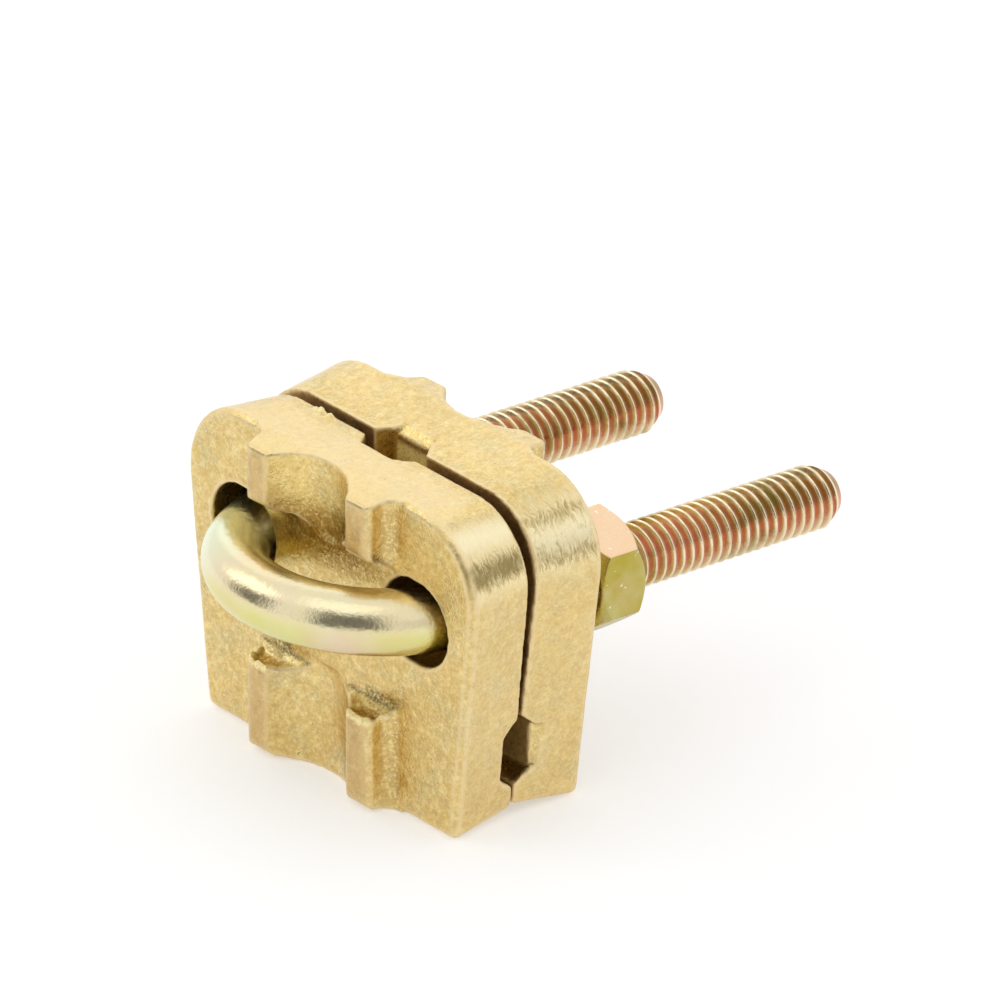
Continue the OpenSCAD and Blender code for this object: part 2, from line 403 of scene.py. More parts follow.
def castBrassFinish():
    look = brassLook
    material, tree, shader, place = newFinish("castBrass")
    spot = {name: spots(tree, place, plan) for name, plan in brassSpots.items()}
    mark = {name: attributeAt(tree, name) for name in brassMarks}
    patch, mottle, grain = spot["patch"], spot["mottle"], spot["grain"]

    def eased(value, name):
        return ramp(tree, value, *brassRamps[name])

    # streaks of the grinding run round the corners and sway a little
    sway = addNode(tree, "ShaderNodeCombineXYZ", {1: times(tree, patch, look["streakSway"])})
    along = addNode(tree, "ShaderNodeVectorMath", {
        0: place, 1: look["streakStretch"], 2: sway.outputs[0]}, operation="MULTIPLY_ADD")
    streak = spots(tree, along.outputs[0], look["streak"])

    smooth = calc(tree, "MAXIMUM", mark["plain"], mark["filed"])
    smooth = calc(tree, "MAXIMUM", smooth, mark["lugFront"])
    coarse = minus(tree, 1.0, times(tree, smooth, look["calm"]))
    strip = mixColour(tree, spot["strip"], look["rosy"], look["rosyDark"])
    frayed = minus(tree, mark["ground"], times(tree, streak, look["fray"]))
    wearHighlight = useGroup(tree, edgeWearHighlight, {
        "Place": place, "Edge": mark["edge"], "Patch": look["wearPatch"], "Amount": look["wearAmount"]})
    colour = layered(tree, look["gold"], [
        (spot["cloud"], look["shade"], 0.7),
        (patch, look["honey"], 0.5),
        (times(tree, spot["sage"], coarse), look["sage"], 0.5),
        # tops and flanks painted paler as if lit; as smoother faces they also lose grain
        (mark["plain"], look["pale"], 0.4),
        # painted highlight on the upper part of the cradle
        (mark["cradle"], look["cradleHighlight"], 0.55),
        (mark["lugFront"], strip, 0.8),
        (times(tree, eased(mottle, "darkMottle"), coarse), look["fleckDark"], 0.45),
        (times(tree, eased(grain, "darkGrain"), coarse), look["fleckDark"], 0.4),
        # painted shade in concave corners, behind the bolt and in the dished lug heads
        (times(tree, mark["hollow"], eased(patch, "shadePatch")), look["amberShade"], 0.9),
        # painted glints inside the painted shade of the hollows
        (times(tree, mark["hollow"], spot["hollowFleck"]), look["paleGlintFleck"], 0.7),
        # pale ends of the mottle and the grain, and sparkles: painted glints
        (times(tree, eased(mottle, "glintMottle"), coarse), look["paleGlintFleck"], 0.5),
        (times(tree, eased(grain, "glintGrain"), coarse), look["paleGlintFleck"], 0.5),
        (times(tree, spot["sparkleGlint"], spot["sparkCluster"], coarse), look["sparkleGlint"], 0.8),
        # real grinding streaks in a painted highlight colour, and painted highlight bands
        (times(tree, mark["filed"], eased(streak, "filedStreak")), look["filedHighlight"], 1.0),
        (mark["highlightBand"], look["filedHighlight"], 1.0),
        # painted dark reflection bands on the ground corners
        (ramp(tree, frayed, 0, look["fray"]), look["filedDarkReflection"], 0.9),
        (times(tree, mark["grime"], spot["moss"]), look["moss"], 0.9),
        # joint faces darker brown, and painted shade in the level groove
        (mark["inside"], look["insideBrown"], 0.6),
        (times(tree, mark["groove"], eased(grain, "chalkGrain")), look["chalk"], 1.0),
        (spot["pit"], look["dirt"], 0.7),
        # worn edges: real wear, and a painted highlight along the edges
        (wearHighlight, look["wornHighlight"], 1.0),
        # raised lips and flash: painted highlight
        (times(tree, mark["lip"], eased(grain, "lipGrain")), look["paleGlintFleck"], 0.9)])
    feed(tree, colour, shader.inputs["Base Color"])

    # scuffed edges, which also carry a painted highlight, and chalky grooves are duller and less metallic
    dull = calc(tree, "MAXIMUM", wearHighlight, times(tree, mark["groove"], look["chalkDull"]))
    matt = times(tree, calc(tree, "MAXIMUM", dull, mark["inside"]), look["dullRoughness"])
    feed(tree, plus(tree, ramp(tree, patch, 0, 1, *look["roughness"]), matt), shader.inputs["Roughness"])
    metal = ramp(tree, dull, 0, look["chalkDull"], 1.0, look["chalkMetal"])
    feed(tree, metal, shader.inputs["Metallic"])

    sand = plus(tree, times(tree, grain, look["grainShare"]), times(tree, spot["dust"], look["dustShare"]))
    scratch = times(tree, streak, mark["filed"], look["streakShare"])
    fine = plus(tree, times(tree, sand, coarse), scratch)
    facet = times(tree, spot["facet"], mark["filed"])
    height = plus(tree, times(tree, fine, look["grainDepth"]), times(tree, facet, look["facetDepth"]))
    bumped(tree, shader, height, 1.0)
    return material


# yellow zinc plating of the bolt and the nuts

zincLook = {
    "straw": (0.82, 0.70, 0.43, 1),
    # green: the plating's tint; the film shimmer uses it, and the left of the bend gets it as a painted
    # highlight
    "green": (0.79, 0.86, 0.62, 1),
    "pink": (0.82, 0.57, 0.49, 1),
    # yellow: painted reflection of the floor on the underside of the bend
    "yellow": (0.71, 0.67, 0.23, 1),
    "root": (0.68, 0.34, 0.23, 1),
    # rootDark: painted dark reflection on the upper side of the thread near the tips
    "rootDark": (0.36, 0.24, 0.08, 1),
    # flank: painted shade on the thread flank toward the bend
    "flank": (0.66, 0.54, 0.24, 1),
    "crest": (0.94, 0.79, 0.60, 1),
    "stain": (0.30, 0.29, 0.10, 1),
    # bright nut edges: real wear, and a painted highlight along the edges
    "bright": (0.94, 0.86, 0.64, 1),
    # peach on the upturned nut faces and the olive base elsewhere: lit and shaded tones painted by facing
    "peach": (0.95, 0.64, 0.40, 1),
    "scuff": (1.0, 0.94, 0.86, 1),
    "olive": (0.47, 0.375, 0.06, 1),
    "barFilm": {"size": 6.5 * mm, "most": 0.22},
    "nutFilm": {"size": 3.5 * mm, "most": 0.2},
    "rootDepth": (0.1, 0.45),  # where the crest's colour gives way to the root's
    # peachFacet: where the painted light on the upturned nut faces begins
    "peachFacet": (0.82, 0.95),
    "nutWearPatch": 0.8 * mm,
    "dentDepth": 0.022 * mm,
    "hazeBump": 0.3,
    "nutBump": 0.01 * mm,
    "barRoughness": 0.19,
    "hazeRoughness": 0.06,
    "nutRoughness": (0.24, 0.34),
}
zincSpots = {
    "greenFilm": {"Low": 0.35, "High": 0.65, "Seed": 11.0, "Detail": 2.0},
    "pinkFilm": {"Low": 0.52, "High": 0.76, "Seed": 17.0, "Detail": 2.0},
    "stain": {"Size": 3.0 * mm, "Low": 0.50, "High": 0.70, "Seed": 31.0, "Detail": 4.0},
    "dent": {"Size": 1.5 * mm, "Low": 0.35, "High": 0.65, "Seed": 37.0, "Detail": 4.0},
    "barHaze": {"Size": 0.4 * mm, "Low": 0.35, "High": 0.65, "Seed": 23.0, "Detail": 3.0},
    "nutHaze": {"Size": 0.4 * mm, "Low": 0.35, "High": 0.65, "Seed": 29.0, "Detail": 3.0},
    "scuff": {"Size": 0.9 * mm, "Low": 0.65, "High": 0.69, "Seed": 57.0, "Detail": 4.0},
}


def filmLayers(tree, place, film):  # the thin green and pink shimmer of the plating
    rows = []
    for name in ("green", "pink"):
        mask = spots(tree, place, {**zincSpots[name + "Film"], "Size": film["size"]})
        rows.append((mask, zincLook[name], film["most"]))
    return rows


def zincBarFinish():
    look = zincLook
    material, tree, shader, place = newFinish("zincBar")
    threaded = attributeAt(tree, "threaded")
    haze = spots(tree, place, zincSpots["barHaze"])
    # underside of the bar, outside the threads: painted reflection of the floor
    under = times(tree, attributeAt(tree, "under"), minus(tree, 1.0, threaded))
    above = minus(tree, 1.0, under)
    root = layered(tree, look["root"], [
        # painted shade on the thread flank toward the bend
        (attributeAt(tree, "headward"), look["flank"], 0.8),
        # painted dark reflection on the upper side of the thread near the tips
        (attributeAt(tree, "tipward"), look["rootDark"], 1.0)])
    colour = layered(tree, look["straw"], [
        # painted reflection of the floor on the underside
        (under, look["yellow"], 0.9),
        # left of the bend: painted highlight in the plating's green
        (times(tree, attributeAt(tree, "leftSide"), above), look["green"], 1.0),
        (times(tree, attributeAt(tree, "blush"), under), look["pink"], 1.0),
        *filmLayers(tree, place, look["barFilm"]),
        (threaded, look["crest"], 0.6),
        (ramp(tree, attributeAt(tree, "threadDepth"), *look["rootDepth"]), root, 1.0),
        (times(tree, spots(tree, place, zincSpots["stain"]), threaded), look["stain"], 0.6)])
    feed(tree, colour, shader.inputs["Base Color"])
    rough = plus(tree, look["barRoughness"], times(tree, haze, look["hazeRoughness"]))
    feed(tree, rough, shader.inputs["Roughness"])
    shader.inputs["Metallic"].default_value = 1.0
    dent = spots(tree, place, zincSpots["dent"])
    bumped(tree, shader, plus(tree, dent, times(tree, haze, look["hazeBump"])), look["dentDepth"])
    return material


def zincNutFinish():
    look = zincLook
    material, tree, shader, place = newFinish("zincNut")
    haze = spots(tree, place, zincSpots["nutHaze"])
    wearHighlight = useGroup(tree, edgeWearHighlight, {
        "Place": place, "Edge": attributeAt(tree, "edge"), "Patch": look["nutWearPatch"]})
    colour = layered(tree, look["olive"], [
        # upturned faces painted peach as lit, while the others keep the olive base as shaded
        (ramp(tree, attributeAt(tree, "facet"), *look["peachFacet"]), look["peach"], 1.0),
        *filmLayers(tree, place, look["nutFilm"]),
        (spots(tree, place, zincSpots["scuff"]), look["scuff"], 0.8),
        # bright nut edges: real wear, and a painted highlight along the edges
        (wearHighlight, look["bright"], 1.0)])
    feed(tree, colour, shader.inputs["Base Color"])
    feed(tree, ramp(tree, haze, 0, 1, *look["nutRoughness"]), shader.inputs["Roughness"])
    shader.inputs["Metallic"].default_value = 1.0
    bumped(tree, shader, haze, look["nutBump"])
    return material


castBrass = castBrassFinish()
zincBar = zincBarFinish()
zincNut = zincNutFinish()
print("finishes made")


# the two saddles: softened castings with a sand skin

castPlan = {
    "voxel": 0.27 * mm,
    "softPasses": 2,
    "give": 0.5,
    "giveLess": 0.4,  # less at the joint face and the grooves, which stay crisp
    "edgePasses": 3,
    "edgeBend": (0.010, 0.06),
    # how wide, and from how deep a corner, the painted shade in concave corners spreads
    "hollowPasses": 20,
    "hollowBend": (-0.005, -0.040),
    "waveSize": 6.0 * mm,
    "waveDepth": 0.08 * mm,
    "waveDetail": 1.0,
    "skinSize": 0.9 * mm,
    "skinDepth": 0.04 * mm,
    "skinDetail": 2.0,
    "chipSize": 1.1 * mm,
    "chipDepth": 0.03 * mm,
    "chipLevels": (0.45, 0.75),
    "chipSeed": 40.0,
    "dishDepth": 0.25 * mm,
    "lipHeight": 0.75 * mm,
    "lipGrain": 0.7,
    "lipLevels": (0.25, 0.7),
    "lipLeast": 0.02,
    "lipPasses": 2,
    "lipSeen": (0.05, 0.2),
    "flashHeight": 0.8 * mm,
    "flashGrain": 0.9,
    "flashLevels": (0.45, 0.8),
    "flashLeast": 0.05,
    "bandSoft": 9.0,
    # strongest painted shade behind the bolt and under the upper lugs, and in the dished lug heads
    "burntMost": 0.85,
    "dishMost": 0.6,
    "noseCalm": 0.5,
    # how much paler the flanks are painted, as a painted highlight
    "flankPale": 0.55,
    # painted shade in the level groove
    "levelSoot": 0.7,
    "levelChalk": 0.35,
    "crustMost": 0.5,
}
# two lists of bands on stretches of the ground corners, the first painted dark as reflection and the second
# painted pale as highlight: from and to in degrees, and how strong
# flash runs from and to in mm across the casting, with its softness
saddlePlan = {
    # paleTop: how strongly the top face is painted lighter, as a painted highlight
    "front_saddle": {
        "at": (0.0, 8.3, 0.0), "lean": 0.0, "turn": 0.0, "seed": 1.0, "paleTop": 1.0, "filed": 1.0,
        "bands": [(15.0, 35.0, 1.0)], "shines": [(42.0, 60.0, 0.8)], "flash": (-13.5, -9.2, 0.2)},
    "rear_saddle": {
        "at": (0.0, 27.310, 0.0), "lean": 1.8, "turn": 180.0, "seed": 6.0, "paleTop": 0.4, "filed": 0.9,
        "bands": [(9.0, 53.0, 0.25), (43.0, 53.0, 0.5), (9.0, 21.0, 0.5)],
        "shines": [(22.0, 42.0, 0.65)], "flash": None},
}
# the casting in mm: depth counts from its outer face in to the joint face, height from its foot
lugFace = -3.6
lowerLugTop = 12.1
upperLugFoot = 32.4
grooveFloor = 7.3
jointFace = 9.4
castTop = 40.6
cornerAt = (15.92, 30.6)  # across and up to the centre of an upper corner
levelGroove = 8.4
grooveHalf = 4.6
# where each mark lies: two ends are a soft step from none to full, three a band and its softness
castMarks = {
    "held": {"depth": (grooveFloor - 0.8, grooveFloor - 0.4)},
    "lugHead": {"across": (6.9, 12.0, 0.2), "depth": (-0.5, -1.0),
                "height": (lowerLugTop - 0.5, lowerLugTop + 1.0, 0.3)},
    "upward": {"facingUp": (0.5, 0.8)},
    "flash": {"depth": (8.3, 8.8), "height": (castTop - 2.5, castTop - 2.0), "facingUp": (0.5, 0.8)},
    "lugNose": {"depth": (-2.0, -3.0)},
    "outerHalf": {"depth": (5.0, 3.0)},
    # painted shade where the bolt and the upper lugs hide the face
    "paintedShade": {"across": (9.5, 6.5), "depth": (0.6, 0.2), "facingOut": (0.2, 0.5),
              "height": (upperLugFoot - 5.0, upperLugFoot + 1.5, 1.8)},
    # painted shade in the dished lug heads
    "dish": {"across": (6.6, 12.0, 0.2), "depth": (-0.3, -2.4), "facingUp": (0.4, 0.8),
             "height": (lowerLugTop - 0.6, lowerLugTop + 0.6, 0.3)},
    "lugFront": {"depth": (lugFace + 0.7, lugFace + 0.35), "facingOut": (0.7, 0.95)},
    "headRim": {"height": (lowerLugTop - 0.2, lowerLugTop + 2.0, 0.3)},
    # upper part of the cradle, which gets a painted highlight
    "cradle": {"across": (8.4, 6.5), "depth": (0.0, -0.6), "facingOut": (0.1, 0.5),
               "height": (upperLugFoot + 0.5, upperLugFoot + 3.0)},
    "flank": {"depth": (0.4, 1.2), "facingSide": (0.8, 0.95)},
    "top": {"height": (castTop - 1.2, castTop - 0.6), "facingUp": (0.85, 0.97)},
    "corner": {"bearing": (6.0, 66.0, 9.0), "facingFlat": (0.5, 0.25)},
    "joint": {"depth": (jointFace - 0.2, jointFace - 0.1), "facingIn": (0.3, 0.7)},
    "grooveFloor": {"depth": (4.0, jointFace - 0.3, 0.1), "facingIn": (0.75, 0.92)},
    "upright": {"across": (grooveHalf + 0.2, grooveHalf - 0.2)},
    "level": {"fromLevel": (grooveHalf + 0.2, grooveHalf - 0.2)},
    "belowTop": {"height": (castTop - 2.2, castTop - 3.4)},
    "moss": {"across": (6.6, 12.6, 0.5), "depth": (-1.4, 0.2, 0.2),
             "height": (lowerLugTop + 1.0, lowerLugTop + 2.3, 0.2)},
    "crust": {"x": (1.5, 5.5, 1.5), "depth": (0.0, -0.3), "height": (0.5, 6.0, 1.5), "facingOut": (0.2, 0.5)},
}


def castSkinTree():
    tree, given, result = newTree(
        "castSkin", "GeometryNodeTree",
        sockets("Geometry", Geometry=None)
        + sockets("Float", waveSize=1.0, waveDepth=0.0, skinSize=1.0, skinDepth=0.0)
        + sockets("Float", chipSize=1.0, chipDepth=0.0, seed=0.0)
        + sockets("Material", material=None),
        sockets("Geometry", Geometry=None))
    place = tree.nodes.new("GeometryNodeInputPosition").outputs[0]
    normal = tree.nodes.new("GeometryNodeInputNormal").outputs[0]
    edge = addNode(tree, "GeometryNodeInputNamedAttribute", {"Name": "edge"}, data_type="FLOAT").outputs[0]

    def relief(size, depth, detail):
        grey = noiseAt(tree, place, size, detail, seed=given["seed"])
        return times(tree, minus(tree, grey, 0.5), times(tree, depth, 2.0))

    height = plus(tree, relief(given["waveSize"], given["waveDepth"], castPlan["waveDetail"]),
                  relief(given["skinSize"], given["skinDepth"], castPlan["skinDetail"]))
    chipSeed = plus(tree, given["seed"], castPlan["chipSeed"])
    chip = ramp(tree, noiseAt(tree, place, given["chipSize"], seed=chipSeed), *castPlan["chipLevels"])
    height = minus(tree, height, times(tree, chip, times(tree, edge, given["chipDepth"])))
    offset = addNode(tree, "ShaderNodeVectorMath", {0: normal, "Scale": height}, operation="SCALE").outputs[0]
    moved = addNode(tree, "GeometryNodeSetPosition", {"Geometry": given["Geometry"], "Offset": offset})
    endTree(tree, moved.outputs[0], given["material"], result)
    return tree


castSkin = castSkinTree()


def castingFrame(plan):  # local x across, y from the outer face in to the joint face, z up
    lean = Matrix.Rotation(math.radians(-plan["lean"]), 4, "X")
    turn = Matrix.Rotation(math.radians(plan["turn"]), 4, "Z")
    return Matrix.Translation(Vector(plan["at"]) * mm) @ lean @ turn


def castingView(mesh, frameMatrix):  # places in mm and facings, as the casting sees them
    turn = np.array(frameMatrix.to_3x3())
    points = (vertexValues(mesh, "co") - np.array(frameMatrix.translation)) @ turn / mm
    normals = vertexValues(mesh, "normal") @ turn
    x, depth, height = points.T
    across = np.abs(x)
    return {
        "points": points, "x": x, "across": across, "depth": depth, "height": height,
        "fromLevel": np.abs(height - levelGroove),
        "bearing": np.degrees(np.arctan2(height - cornerAt[1], across - cornerAt[0])),
        "facingUp": normals[:, 2], "facingSide": np.abs(normals[:, 0]), "facingIn": normals[:, 1],
        "facingOut": -normals[:, 1], "facingFlat": np.abs(normals[:, 1])}


def markShare(view, name):
    share = np.ones(len(view["points"]))
    for axis, ends in castMarks[name].items():
        step = bandShare if len(ends) == 3 else smoothShare
        share *= step(view[axis], *ends)
    return share


def roughenLugs(mesh, plan, frameMatrix):  # dished heads with a raised lip, and a crumb of flash at the joint
    view = castingView(mesh, frameMatrix)
    edge = readValues(mesh, "edge")
    head = markShare(view, "lugHead")
    lift = -castPlan["dishDepth"] * head * markShare(view, "upward") * (1 - edge)
    near = np.flatnonzero(head * edge > castPlan["lipLeast"])
    torn = smoothShare(roughNoise(view["points"][near], castPlan["lipGrain"]), *castPlan["lipLevels"])
    lift[near] += castPlan["lipHeight"] * torn * head[near] * np.sqrt(edge[near])
    if plan["flash"]:
        crumb = markShare(view, "flash") * bandShare(view["x"], *plan["flash"])
        near = np.flatnonzero(crumb > castPlan["flashLeast"])
        torn = smoothShare(roughNoise(view["points"][near], castPlan["flashGrain"]), *castPlan["flashLevels"])
        lift[near] += castPlan["flashHeight"] * torn * crumb[near]
    lift = evened(lift, edgePairs(mesh), castPlan["lipPasses"])
    # the lifted lips and flash, which get a painted highlight
    storeValues(mesh, "lip", smoothShare(lift / mm, *castPlan["lipSeen"]))
    upAxis = np.array(frameMatrix.to_3x3())[:, 2]
    movePoints(mesh, vertexValues(mesh, "co") + lift[:, None] * upAxis)


def markCasting(mesh, plan, frameMatrix):  # masks that the brass finish reads
    view = castingView(mesh, frameMatrix)
    part = {name: markShare(view, name) for name in castMarks}
    bend = bentness(mesh, castPlan["voxel"], castPlan["hollowPasses"])
    # painted shade: behind the bolt and under the upper lugs, in the dished lug heads and in concave corners
    paintedShade = np.maximum(castPlan["burntMost"] * part["paintedShade"], castPlan["dishMost"] * part["dish"])
    hollow = np.maximum(smoothShare(bend, *castPlan["hollowBend"]), paintedShade)
    corner = part["corner"] * (view["across"] > cornerAt[0])
    upright = part["grooveFloor"] * part["upright"]
    level = part["grooveFloor"] * part["level"] * (1 - upright)

    def stretches(bands):
        return corner * sum(most * bandShare(view["bearing"], low, high, castPlan["bandSoft"])
                            for low, high, most in bands)

    marks = {
        "edge": readValues(mesh, "edge") * (1 - castPlan["noseCalm"] * part["lugNose"]),
        "hollow": hollow * part["outerHalf"],
        "lugFront": part["lugFront"] * (1 - part["headRim"]),
        # upper cradle: painted highlight
        "cradle": part["cradle"],
        # tops and flanks: smoother faces, painted paler as a highlight
        "plain": np.maximum(castPlan["flankPale"] * part["flank"], plan["paleTop"] * part["top"]),
        "filed": plan["filed"] * corner,
        # painted dark reflection bands and painted highlight bands on the ground corners
        "ground": stretches(plan["bands"]),
        "highlightBand": stretches(plan["shines"]),
        # joint faces darker brown, and painted shade in the level groove
        "inside": np.maximum(part["joint"], castPlan["levelSoot"] * level),
        "groove": np.maximum(upright * part["belowTop"], castPlan["levelChalk"] * level),
        "grime": np.maximum(part["moss"], castPlan["crustMost"] * part["crust"]),
    }
    for name, values in marks.items():
        storeValues(mesh, name, values)


def makeSaddle(nodeName):
    plan = saddlePlan[nodeName]
    piece = remeshed(nodeName + "_cast", nodeCopy(nodeName), castPlan["voxel"])
    frameMatrix = castingFrame(plan)
    mesh = piece.data
    held = markShare(castingView(mesh, frameMatrix), "held")
    softened(mesh, castPlan["softPasses"], (castPlan["give"] - castPlan["giveLess"] * held)[:, None])
    bend = bentness(mesh, castPlan["voxel"], castPlan["edgePasses"])
    storeValues(mesh, "edge", smoothShare(bend, *castPlan["edgeBend"]))
    throughTree(piece, castSkin, {**castPlan, "seed": plan["seed"], "material": castBrass})
    mesh = piece.data
    roughenLugs(mesh, plan, frameMatrix)
    mesh.shade_smooth()
    markCasting(mesh, plan, frameMatrix)
    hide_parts(nodeName)
    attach(piece, nodeName)
    print("saddle made:", piece.name, len(mesh.vertices), "points")


for nodeName in saddlePlan:
    makeSaddle(nodeName)


# the U-bolt: bend, plain shanks and right hand threads, made by one tree

boltPlan = {
    "barRadius": 3.95 * mm,
    "rootRadius": 3.15 * mm,
    "pitch": 1.411 * mm,
    "threadLength": 44.0 * mm,
    "runOut": 2.82 * mm,
    "tipLength": 2.2 * mm,
    "tipInset": 1.21 * mm,
    "roundSteps": 48,
    "pitchSteps": 16,
    "bendSteps": 72,
    "shankSteps": 8,
    "capSteps": 6,
    "weldGap": 0.004 * mm,
    "sharpAngle": 42.0,
    "ridge": (0.1, 0.7),  # where the crest ends and the root starts, on the way from one to the other
    "headFlank": ((0.20, 0.36), (0.52, 0.46)),  # the flank toward the bend, along one pitch, which is painted as shade
    # colour marks: places in mm from the centre of the bend, strongest shares and a facing
    "bendEnd": (8.0, 0.0),
    # greenSide and greenMost: where and how strong the painted highlight on the left of the bend is
    "greenSide": (-2.0, -14.0),
    "greenMost": 0.9,
    "blushBand": (10.0, 15.0, 3.0),
    "blushMost": 0.7,
    # where the painted dark reflection on the upper side near the tips lies
    "tipFrom": (28.0, 46.0),
    "tipUpper": (-0.2, 2.4),
    "tipMost": 0.7,
    # underFacing: where the painted reflection on the underside fades in
    "underFacing": (0.40, -0.15),
}


def uBoltTree():
    tree, given, result = newTree(
        "uBolt", "GeometryNodeTree",
        sockets("Geometry", Geometry=None)
        + sockets("Float", barRadius=1.0, rootRadius=1.0, tipRadius=1.0, tipLength=1.0, bendRadius=1.0)
        + sockets("Float", plainLength=1.0, threadLength=1.0, runOut=1.0, pitch=1.0, turns=1.0)
        + sockets("Int", turnSteps=2, pitchSteps=2, roundSteps=3, bendSteps=2, shankSteps=2, capSteps=2)
        + sockets("Material", material=None),
        sockets("Geometry", Geometry=None))
    fullTurn = 2 * math.pi
    barRadius, tipRadius = given["barRadius"], given["tipRadius"]
    plainLength, threadLength = given["plainLength"], given["threadLength"]

    def sheet(stepsX, stepsY):  # a unit sheet, with how far along and how far across each point lies
        counts = {"Size X": 1.0, "Size Y": 1.0,
                  "Vertices X": plus(tree, stepsX, 1.0), "Vertices Y": plus(tree, stepsY, 1.0)}
        mesh = addNode(tree, "GeometryNodeMeshGrid", counts).outputs["Mesh"]
        place = tree.nodes.new("GeometryNodeInputPosition").outputs[0]
        at = addNode(tree, "ShaderNodeSeparateXYZ", {0: place}).outputs
        return mesh, plus(tree, at[0], 0.5), plus(tree, at[1], 0.5)

    def shaped(mesh, x, y, z):
        point = addNode(tree, "ShaderNodeCombineXYZ", {0: x, 1: y, 2: z}).outputs[0]
        return addNode(tree, "GeometryNodeSetPosition", {"Geometry": mesh, "Position": point}).outputs[0]

    def ring(mesh, radius, angle, along):  # about the leg's axis, turning right handed toward the tip
        across = times(tree, radius, calc(tree, "COSINE", angle))
        down = times(tree, radius, calc(tree, "SINE", angle))
        return shaped(mesh, across, along, times(tree, down, -1.0))

    def marked(mesh, name, value):
        ends = {"Geometry": mesh, "Name": name, "Value": value}
        return addNode(tree, "GeometryNodeStoreNamedAttribute", ends, data_type="FLOAT").outputs[0]

    # thread, swept along its own helix so that crest and root lines stay clean
    mesh, u, v = sheet(given["turnSteps"], given["pitchSteps"])
    turn = times(tree, u, given["turns"])
    rise = times(tree, minus(tree, plus(tree, turn, v), 1.0), given["pitch"])
    rise = calc(tree, "MINIMUM", calc(tree, "MAXIMUM", rise, 0.0), threadLength)
    cut = ramp(tree, rise, 0.0, given["runOut"])
    fromCrest = times(tree, calc(tree, "ABSOLUTE", minus(tree, v, 0.5)), 2.0)
    depth = times(tree, ramp(tree, fromCrest, *boltPlan["ridge"]), cut)
    sunk = times(tree, depth, minus(tree, barRadius, given["rootRadius"]))
    tipStart = minus(tree, threadLength, given["tipLength"])
    tipLimit = ramp(tree, rise, tipStart, threadLength, barRadius, tipRadius)
    radius = calc(tree, "MINIMUM", minus(tree, barRadius, sunk), tipLimit)
    flankStart, flankEnd = (ramp(tree, v, *ends) for ends in boltPlan["headFlank"])
    mesh = marked(mesh, "threadDepth", depth)
    # the flank toward the bend, for its painted shade
    mesh = marked(mesh, "headward", times(tree, flankStart, flankEnd))
    mesh = marked(mesh, "threaded", cut)
    thread = ring(mesh, radius, times(tree, turn, fullTurn), plus(tree, rise, plainLength))

    # plain shank and the face of the tip
    mesh, u, v = sheet(given["roundSteps"], given["shankSteps"])
    shank = ring(mesh, barRadius, times(tree, u, fullTurn), times(tree, v, plainLength))
    mesh, u, v = sheet(given["roundSteps"], given["capSteps"])
    capRadius = times(tree, tipRadius, minus(tree, 1.0, v))
    cap = ring(mesh, capRadius, times(tree, u, fullTurn), plus(tree, plainLength, threadLength))

    leg = tree.nodes.new("GeometryNodeJoinGeometry")
    for part in (cap, shank, thread):
        tree.links.new(part, leg.inputs[0])
    whole = tree.nodes.new("GeometryNodeJoinGeometry")
    for side in (1.0, -1.0):
        shift = addNode(tree, "ShaderNodeCombineXYZ", {0: times(tree, given["bendRadius"], side)})
        placed = addNode(tree, "GeometryNodeTransform", {
            "Geometry": leg.outputs[0], "Translation": shift.outputs[0]})
        tree.links.new(placed.outputs[0], whole.inputs[0])

    # the bend, from the right leg round the front to the left leg
    mesh, u, v = sheet(given["bendSteps"], given["roundSteps"])
    sweep = times(tree, u, math.pi)
    around = times(tree, v, fullTurn)
    reach = plus(tree, given["bendRadius"], times(tree, barRadius, calc(tree, "COSINE", around)))
    bend = shaped(mesh, times(tree, reach, calc(tree, "COSINE", sweep)),
                  times(tree, reach, calc(tree, "SINE", sweep), -1.0),
                  times(tree, barRadius, calc(tree, "SINE", around), -1.0))
    tree.links.new(bend, whole.inputs[0])
    welded = addNode(tree, "GeometryNodeMergeByDistance", {
        "Geometry": whole.outputs[0], "Distance": boltPlan["weldGap"]})
    endTree(tree, welded.outputs[0], given["material"], result)
    return tree


def boltFrame():  # local x across, y along the legs to the tips, z up, origin at the centre of the bend
    left, right = (Vector(jointNamed[name]["pos_m"]) for name in ("left_nut_turn", "right_nut_turn"))
    legAxis = Vector(jointNamed["right_nut_turn"]["axis"]).normalized()
    across = (right - left).normalized()
    reach = [vertex.co.dot(legAxis) for vertex in frame["nodes"]["u_bolt"].data.vertices]
    bendRadius = (right - left).length / 2
    bendAt = min(reach) + bendRadius + boltPlan["barRadius"]
    middle = (left + right) / 2
    origin = middle + legAxis * (bendAt - middle.dot(legAxis))
    turn = Matrix((across, legAxis, across.cross(legAxis))).transposed().to_4x4()
    return Matrix.Translation(origin) @ turn, bendRadius, max(reach) - bendAt


def markBolt(mesh):  # before the bolt is put in its place
    plan = boltPlan
    x, y, z = vertexValues(mesh, "co").T / mm
    onBend = smoothShare(y, *plan["bendEnd"])
    # painted highlight on the left of the bend
    storeValues(mesh, "leftSide", plan["greenMost"] * smoothShare(x, *plan["greenSide"]) * onBend)
    storeValues(mesh, "blush", plan["blushMost"] * bandShare(x, *plan["blushBand"]) * onBend)
    # painted dark reflection on the upper side of the thread near the tips
    tipward = smoothShare(y, *plan["tipFrom"]) * smoothShare(z, *plan["tipUpper"])
    storeValues(mesh, "tipward", plan["tipMost"] * tipward)


